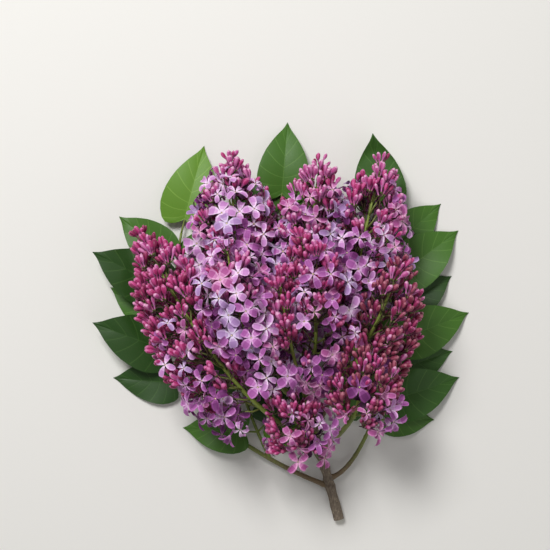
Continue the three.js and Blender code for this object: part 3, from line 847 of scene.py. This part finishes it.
for index, (name, p) in enumerate(PANICLES.items()):
    rng = np.random.default_rng(100 + index)
    limb = limbs[name]

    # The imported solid's own flowers say which parts of the head are in full flower.
    q, _, feet, direction, room = flower_places(name, p, p["flowers"])
    solid_ends = feet + direction * room[:, None]
    solid_opening = p["open"] - q + 0.3 * jitter(3 * np.arange(len(q)) + p["turn"])

    # Hubs, where the bunches fork, by the same rule with more of them.
    q, s, feet, direction, room = flower_places(name, p, p["flowers"] * HUBS_PER_FLOWER)
    ends = feet + direction * room[:, None]
    opening = solid_opening[distances(ends, solid_ends).argmin(1)]
    opening = opening + rng.normal(0, 0.1, len(q))
    depth = room - np.where(opening > 0, BUNCH_DEPTH, BUD_BUNCH_DEPTH)
    hubs = feet + direction * np.maximum(depth, 0.2 * room)[:, None]
    good = (room > LEAST_ROOM) & off_partings(hubs, BUD_PARTING)
    good = rng.permutation(np.flatnonzero(good))
    chosen = good[spaced(hubs[good], HUB_SPACING * (1 - 0.45 * q[good] ** 5))]
    hubs, direction, room, s = hubs[chosen], direction[chosen], room[chosen], s[chosen]
    is_open = opening[chosen] > 0
    just_open = np.abs(opening[chosen]) < JUST_OPEN

    # Opposite pairs of side branches, each pair square to the one below, fork to the hubs.
    lower = s - 0.5 * np.linalg.norm(hubs - feet[chosen], axis=1) / limb.length
    pair = np.round(np.clip(lower, 0.02, 1) * limb.length / PAIR_SPACING)
    turned = chosen * GOLDEN + np.radians(p["turn"]) - pair * np.pi / 2
    branches, branch_of = np.unique(2 * pair + (np.cos(turned) > 0), return_inverse=True)
    hub_counts = np.bincount(branch_of)[:, None]
    middles = np.stack([np.bincount(branch_of, hubs[:, k]) for k in range(3)], 1) / hub_counts
    branch_feet = limb.point(np.clip(branches // 2 * PAIR_SPACING / limb.length, 0.02, 1))
    forks = branch_feet + FORK * (middles - branch_feet)

    # Open florets round each open hub: outermost faces first, then a layer behind them.
    hub_of = np.repeat(np.flatnonzero(is_open), FLORETS_TRIED)
    ways = golden_cone(direction[is_open], FLORETS_TRIED, FLORET_CONE, rng).reshape(-1, 3)
    wanted = np.full(len(ways), FLORET_REACH)
    reached = room_along(name, hubs[hub_of], ways, wanted, most=1.0, step=2.0)
    out = reached - rng.uniform(0, 1, len(reached)) ** 2 * 8
    faces_at = hubs[hub_of] + ways * out[:, None]
    faces_at[:, 2] = np.minimum(faces_at[:, 2], TOP - PETAL_LIFT)
    able = (reached > LEAST_REACHED) & off_partings(faces_at, FLORET_PARTING)
    order = rng.permutation(np.flatnonzero(able))
    share = shares_of(faces_at[order])[:, ORDER.index(name)]
    order = order[np.argsort(-share + 0.25 * rng.uniform(size=len(order)))]
    outer = order[spaced(faces_at[order], FACE_SPACING)]
    behind_at = faces_at - ways * rng.uniform(*INNER_DEPTH, (len(ways), 1))
    behind = np.flatnonzero((out > DEEP_HUB) & off_partings(behind_at, FLORET_PARTING))
    inner = behind[spaced(behind_at[behind], FACE_SPACING, faces_at[outer])]
    floret_at = np.concatenate([faces_at[outer], behind_at[inner]])
    floret_way = np.concatenate([ways[outer], ways[inner]])
    floret_hub = np.concatenate([hub_of[outer], hub_of[inner]])
    bunch, own, chance, up = FACING
    axes = bunch * direction[floret_hub] + own * floret_way
    axes = axes + chance * rng.normal(size=axes.shape)
    axes = unit(axes + up * UP * (direction[floret_hub][:, 2:] > -0.3))
    kinds = np.where(
        just_open[floret_hub],
        rng.choice(len(FLORETS), len(floret_at), p=OPENING_KINDS),
        rng.choice(len(FLORETS), len(floret_at), p=OPEN_KINDS),
    )
    bent = rng.choice(BENT_KINDS, len(floret_at), p=[0.25] * 4)
    kinds = np.where(axes[:, 2] < SIDEWAYS, bent, kinds)
    tones = rng.choice(5, len(floret_at), p=PETAL_MIXTURES["back" in name])
    fresh = rng.choice(5, len(floret_at), p=FRESH_MIXTURE)
    tones = np.where(just_open[floret_hub], fresh, tones)
    # The layer behind is painted in the darker tones, as painted shade inside the head.
    tones[len(outer) :] = rng.choice(INNER_SHADE_TONES, len(inner), p=INNER_MIXTURE)
    sizes = rng.uniform(*FLORET_SIZES, len(floret_at))
    spins = rng.uniform(0, 6.3, len(floret_at))
    florets = stamp_kinds(FLORETS, kinds, (floret_at, axes, spins, sizes, tones), 3, 2)
    tube_ends = floret_at - axes * (TUBE * sizes)[:, None]

    # Buds in a fan from each closed hub, and a few among the open florets.
    fans = ~is_open | just_open | (rng.uniform(size=len(hubs)) < FANS_IN_FLOWER)
    hub_of = np.repeat(np.flatnonzero(fans), BUDS_TRIED)
    bunch_way = UPRIGHT[0] * direction + UPRIGHT[1] * limb.heading(s) + [0, UPRIGHT[2], 0]
    bunch_way[:, 2] *= BUNCH_RISE
    ways = golden_cone(unit(bunch_way)[fans], BUDS_TRIED, BUD_CONE, rng).reshape(-1, 3)
    ways = unit(ways + 0.07 * rng.normal(size=ways.shape))
    scale = rng.uniform(*BUD_SIZES, len(ways)) * np.clip(room[hub_of] / ROOMY, 0.75, 1)
    bases = hubs[hub_of] + ways * rng.uniform(*BUD_START, len(ways))[:, None]
    tips = bases + ways * (BUD_LENGTH * scale)[:, None]
    fits = in_own_space(name, tips, most=1.1, margin=0.0) & (tips[:, 2] < TOP + 1)
    fits &= off_partings(tips, BUD_PARTING)
    order = rng.permutation(np.flatnonzero(fits))
    keep = order[spaced(tips[order], TIP_SPACING)]
    if len(floret_at):
        keep = keep[distances(tips[keep], floret_at).min(1) > FLORET_TO_TIP]
    kinds = rng.choice(len(BUDS), len(keep))
    tones = rng.choice(len(BUD_TONES), len(keep), p=BUD_MIXTURES.get(name, MIXED_BUDS))
    spins = np.zeros(len(keep))
    spins[np.argsort(kinds, kind="stable")] = rng.uniform(0, 6.3, len(keep))
    buds = stamp_kinds(BUDS, kinds, (bases[keep], ways[keep], spins, scale[keep], tones), 4, 1)

    # The stalk, the side twigs to the hubs, the short stalks of florets and buds, and bracts.
    count = len(hubs) // HUBS_PER_BRACT
    bracts = rng.permutation(len(hubs))[:count]
    stalks = [
        limb_skin(limb, 10, 50, STALK),
        sticks(branch_feet, forks, rng, radius=1.0, sides=5, bow=0.04, slot=BRANCH),
        sticks(forks[branch_of], hubs, rng, radius=0.65, sides=4, bow=0.05, slot=TWIG),
        sticks(hubs[floret_hub], tube_ends, rng, radius=0.45, sides=4, bow=0.06, slot=FINE),
        sticks(hubs[hub_of[keep]], bases[keep], rng, radius=0.4, sides=3, bow=0.04, slot=FINE),
        stamp(bract_shape(BRACT), hubs[bracts], direction[bracts], rng.uniform(0, 6, count),
              rng.uniform(0.8, 1.6, count)),
    ]
    if florets:
        build(name + "_florets", florets, floret_materials, name)
    if buds:
        build(name + "_buds", buds, bud_materials, name)
    build(name + "_stalks", stalks, stalk_finishes, name)

# ------------------------ leaves
# Lilac leaves: heart-shaped, smooth and thin, with a pale midrib and side veins that sweep
# forward; a stalk about 15 mm long joins each to its twig, where they stand in pairs.

LEAF_WIDTH = 0.72
PETIOLE = 15.0
LEAF_THICKNESS = 0.45
# Half of the margin as shares of the length and of the half width, from the stalk to the tip.
LEAF_OUTLINE = np.array(
    [(0, 0), (-0.08, 0.3), (-0.09, 0.72), (0.09, 0.98), (0.31, 0.98), (0.55, 0.79), (0.75, 0.47),
     (0.9, 0.15), (1, 0)]
)
VEINS = np.array([0.17, 0.29, 0.41, 0.53, 0.65, 0.76, 0.86])
VEIN_HALF = 0.004
SIDE_STEPS = np.array([0.014, 0.12, 0.3, 0.5, 0.7, 0.86, 0.96, 1.0])
LEAF_CEILING = 15.0
UNDERSIDE, LEAF_STALK = 8, 9  # slots, after a blade's and a vein's for each of the four tones


def smooth_through(points, share):
    """A curve through the points, at shares of their number: between two points it is the cubic
    whose slopes at both are half the step from the point before to the one after."""
    ends = np.vstack([2 * points[0] - points[1], points, 2 * points[-1] - points[-2]])
    place = np.clip(share * (len(points) - 1), 0, len(points) - 1 - 1e-9)
    n = place.astype(int)
    t = (place - n)[:, None]
    a, b, c, d = ends[n], ends[n + 1], ends[n + 2], ends[n + 3]
    slopes = (c - a) * t + (2 * a - 5 * b + 4 * c - d) * t**2 + (3 * b - a - 3 * c + d) * t**3
    return b + slopes / 2


def leaf_ceiling(x, y):
    """The greatest height of a leaf: LEAF_CEILING under the flowers, and 0.8 mm more for each
    millimetre that a point is over 4 mm beside them."""
    places = np.stack([x.ravel(), y.ravel()], 1)
    beside = (distances(places, cell_points[:, :2]) - cell_reach).min(1).reshape(x.shape)
    return LEAF_CEILING + 0.8 * np.maximum(0, beside - 4)


def leaf_rows():
    """The rows of a blade from its base to its tip: both rims of each vein, and the middles
    between veins."""
    rims = np.concatenate([VEINS - VEIN_HALF, VEINS + VEIN_HALF])
    between = (VEINS[1:] + VEINS[:-1]) / 2
    return np.sort(np.concatenate([[0, 0.06, 0.11, 0.91, 0.95, 1], rims, between]))


def leaf_blade(leaf, rows, side):
    """A blade's middle surface. The margin at q is on LEAF_OUTLINE, the midrib's point for the
    same q is at q^2.4 of the length, and a row goes from one to the other, bent back a little
    as a side vein is. Heights: from the base to the tip by t^1.6, plus rise sin(pi t), a fold
    at the midrib and a roll to one side, no higher than the ceiling, and a wavy margin."""
    u = np.abs(side)
    outline = smooth_through(LEAF_OUTLINE, rows)
    middle = rows**2.4
    t = middle[:, None] + (outline[:, :1] - middle[:, None]) * u
    t = t - 0.03 * np.sin(np.pi * u) * outline[:, 1:]
    out = side * (leaf["length"] * LEAF_WIDTH / 2) * outline[:, 1:]
    along = PETIOLE + leaf["length"] * t
    ahead, aside, _ = leaf["forward"]
    x = leaf["foot"][0] + ahead * along + aside * out
    y = leaf["foot"][1] + aside * along - ahead * out
    run = np.clip(t, 0, 1)
    height = leaf["base"] + (leaf["tip"] - leaf["base"]) * run**1.6
    height = height + leaf["rise"] * np.sin(np.pi * run) + 0.14 * np.abs(out) + leaf["roll"] * out
    height = np.minimum(height, leaf_ceiling(x, y))
    wave = 1.1 * np.sin(rows * 15 + leaf["seed"])[:, None] * u**3 * np.sin(np.pi * rows)[:, None]
    return x, y, np.maximum(height + wave, 0.6 * LEAF_THICKNESS)


def leaf_surfaces(leaf):
    """The blade, as an upper and an under skin that meet at the margin, with each field between
    veins puffed up a little, and the stalk."""
    rows, side = leaf_rows(), np.concatenate([-SIDE_STEPS[::-1], SIDE_STEPS])
    u = np.abs(side)
    x, y, height = leaf_blade(leaf, rows, side)
    near_vein = np.min(np.abs(rows[:, None] - VEINS), axis=1)
    puff = 0.5 * np.clip(near_vein / 0.05, 0, 1)[:, None] * np.sin(np.pi * u) * (u > 0.05)
    thick = LEAF_THICKNESS * (1 - u**6) + 0.7 * (u < 0.05) * (1 - rows[:, None])
    upper = np.stack([x, y, height + puff + 0.5 * LEAF_THICKNESS * (1 - u**6)], -1)
    under = upper - thick[..., None] * UP
    faces = grid_faces(len(rows), len(side))
    count = len(rows) * len(side)
    row_middle = (rows[1:] + rows[:-1]) / 2
    side_middle = (side[1:] + side[:-1]) / 2
    on_vein = (np.min(np.abs(row_middle[:, None] - VEINS), 1) < VEIN_HALF)[:, None]
    on_vein = on_vein & (np.abs(side_middle) < 0.93)
    vein = (on_vein | (np.abs(side_middle) < 0.01)).ravel()
    above = 2 * leaf["tone"] + vein
    blade = (
        np.concatenate([upper.reshape(-1, 3), under.reshape(-1, 3)]),
        np.concatenate([np.roll(faces[:, ::-1], 1, 1), faces + count]),
        np.concatenate([above, np.where(vein, above, UNDERSIDE)]),
    )
    share = np.linspace(0, 1, 6)[:, None]
    foot = leaf["foot"]
    joint = foot + leaf["forward"] * (PETIOLE + 1.5)
    joint[2] = upper[1, len(SIDE_STEPS), 2] - 0.4
    path = foot + (joint - foot) * share
    headings = unit(np.gradient(path, axis=0))
    stalk = closed_tube(rings(path, headings, np.linspace(1.15, 0.8, 6), 7), [LEAF_STALK] * 7)
    return [blade, stalk]


# Leaves are smooth and slightly glossy above, with paler veins; below they are paler and matt.
LEAF_TONES = {
    "green": ("#375f20", "#49702f"),
    "dark": ("#294a19", "#3a5b26"),
    "mid": ("#446e24", "#567f33"),
    "young": ("#638f2a", "#78a13c"),
}
gloss = {"Specular_IOR_Level": 0.35}
leaf_materials = [
    *toned_finishes("leaf", LEAF_TONES, ("blade", "vein"), 0.5, 1.5, 0.1, **gloss),
    plant_finish("leaf_underside", "#6c8752", 0.65, 1.2, 0.05),
    plant_finish("leaf_stalk", "#74853a", 0.5, 0.8, 0.05),
]

LEAF_GAP = 1.8  # from one twig's leaves to another's, over points about 3 mm apart
TWIG_GAP = 1.15  # from leaves to the limbs of other pieces
SMALL_LEAF = 0.8  # the size of the leaves between the pairs, as a share
SMALL_DROP = 5.0  # how much lower they start
SMALL_GAP = 1.0  # from them to their own twig's other leaves
FIRST_PAIR, FIRST_SMALL_PAIR = 0.12, 0.04  # as shares of the twig
RAISED_TIP = 26
STALK_SAMPLES = 8
# The sizes and turns tried for a leaf, one after another, until it is clear of all others.
TRIES = [(size, more) for size in (1, 0.92, 0.84, 0.76) for more in (0, 9, -9, 18)]
check_rows, check_sides = np.linspace(0.02, 1, 30), np.linspace(-1, 1, 19)
fine_names, fine_points, fine_radii = limb_samples(97)
taken = []


def leaf_samples(leaf):
    """Points over a leaf: its blade's middle surface and its stalk."""
    blade = np.stack(leaf_blade(leaf, check_rows, check_sides), -1).reshape(-1, 3)
    slope = leaf["forward"] + UP * (leaf["base"] - leaf["foot"][2]) / PETIOLE
    stalk = leaf["foot"] + slope * np.linspace(2, PETIOLE, STALK_SAMPLES)[:, None]
    return np.concatenate([blade, stalk])


def is_clear(leaf, name, gap):
    """True where a leaf is clear of other limbs, of other twigs' leaves, and by the gap of its
    own twig's."""
    points = leaf_samples(leaf)
    foreign = fine_names != name
    if (distances(points, fine_points[foreign]) - fine_radii[foreign]).min() < TWIG_GAP:
        return False
    others = [other for owner, other in taken if owner != name]
    own = [other for owner, other in taken if owner == name]
    if any(distances(points, other).min() < LEAF_GAP for other in others):
        return False
    return not own or distances(points[:-STALK_SAMPLES], np.concatenate(own)).min() >= gap


for name, p in SPRAYS.items():
    limb = limbs[name]
    leaves = []
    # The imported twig's leaves, in pairs with one at the end; then smaller pairs between them,
    # low down, that pass under the first. A place has its side, its seed and its leaf's size.
    pairs = p["pairs"]
    left = 1 - FIRST_PAIR
    shares = FIRST_PAIR + left * (np.arange(pairs) + 0.3 * (pairs == 1)) / pairs
    small = [FIRST_SMALL_PAIR, *(shares + left / 2 / pairs)]
    places = [(s, half, 2 * k + half, 1) for k, s in enumerate(shares) for half in (-1, 1)]
    places.append((1.0, 0, 9, 1))
    places += [
        (s, half, 18 + 2 * k + half, SMALL_LEAF) for k, s in enumerate(small) for half in (-1, 1)
    ]
    for s, half, number, share in places:
        seed = p["turn"] + number
        foot, ahead = limb.point(s), limb.heading(s)
        lowered = SMALL_DROP * (share < 1)
        for size, more in TRIES:
            yaw = np.radians(half * p["spread"] + more + 5 * jitter(seed))
            yaw += np.arctan2(ahead[1], ahead[0])
            leaf = dict(
                foot=foot,
                forward=np.array([np.cos(yaw), np.sin(yaw), 0]),
                length=size * share * p["length"],
                base=foot[2] + 2.5 + 1.5 * jitter(seed + 1) - lowered,
                tip=RAISED_TIP if jitter(seed + 3) > 0.25 and share == 1 else 0,
                rise=5 + 3 * jitter(seed + 4) - 0.8 * lowered,
                roll=0.16 * jitter(seed + 5),
                seed=seed,
                tone=int(1.65 + 1.65 * jitter(seed + 24)),
            )
            if is_clear(leaf, name, SMALL_GAP if share < 1 else 0):
                taken.append((name, leaf_samples(leaf)))
                leaves.append(leaf)
                break
    twig = limb_skin(limb, 10, 40, LEAF_STALK)
    blades = [surface for leaf in leaves for surface in leaf_surfaces(leaf)]
    build(name + "_blades", blades + [twig], leaf_materials, name)

# ------------------------ studio
# A plain pale floor, a large soft light beyond the heads' tips, to their left, a weak wide one
# across from it, and a camera that looks straight down on the branch.

FRAME_MM = 550.0  # what the camera's view takes in, at the focus height
FOCUS_HEIGHT = 80.0
LENS, SENSOR = 100.0, 36.0
FLOOR_HALF = 15.0  # in metres, as the lights' places and sizes are
ROOM_LIGHT = 0.24

floor_mesh = bpy.data.meshes.new("floor")
floor_corners = np.array([(-1, -1, 0), (1, -1, 0), (1, 1, 0), (-1, 1, 0)]) * FLOOR_HALF
floor_mesh.from_pydata(floor_corners.tolist(), [], [(0, 1, 2, 3)])
floor_mesh.materials.append(plant_finish("paper_floor", "#e9e7e2", 0.8, 3.0, 0.02))
floor = placed("floor", floor_mesh)

for name, place, size, power in [
    ("key", (-0.65, 1.17, 1.95), 0.78, 46),
    ("fill", (0.9, -0.6, 1.2), 1.4, 3),
]:
    light = bpy.data.lights.new(name, "AREA")
    light.size = size
    light.energy = power
    lamp = placed(name, light)
    lamp.location = place
    lamp.rotation_euler = Vector(place).to_track_quat("Z", "Y").to_euler()

world = bpy.data.worlds.new("soft_room")
world.use_nodes = True
sky = world.node_tree.nodes["Background"].inputs
sky["Color"].default_value = (1, 1, 1, 1)
sky["Strength"].default_value = ROOM_LIGHT
bpy.context.scene.world = world
bpy.context.scene.view_settings.view_transform = "Standard"

camera_data = bpy.data.cameras.new("camera")
camera_data.lens = LENS
camera_data.sensor_width = SENSOR
camera = placed("camera", camera_data)
camera_height = FOCUS_HEIGHT + FRAME_MM * LENS / SENSOR
camera.location = ((SHIFT + [0, 0, camera_height]) * MM).tolist()
bpy.context.scene.camera = camera
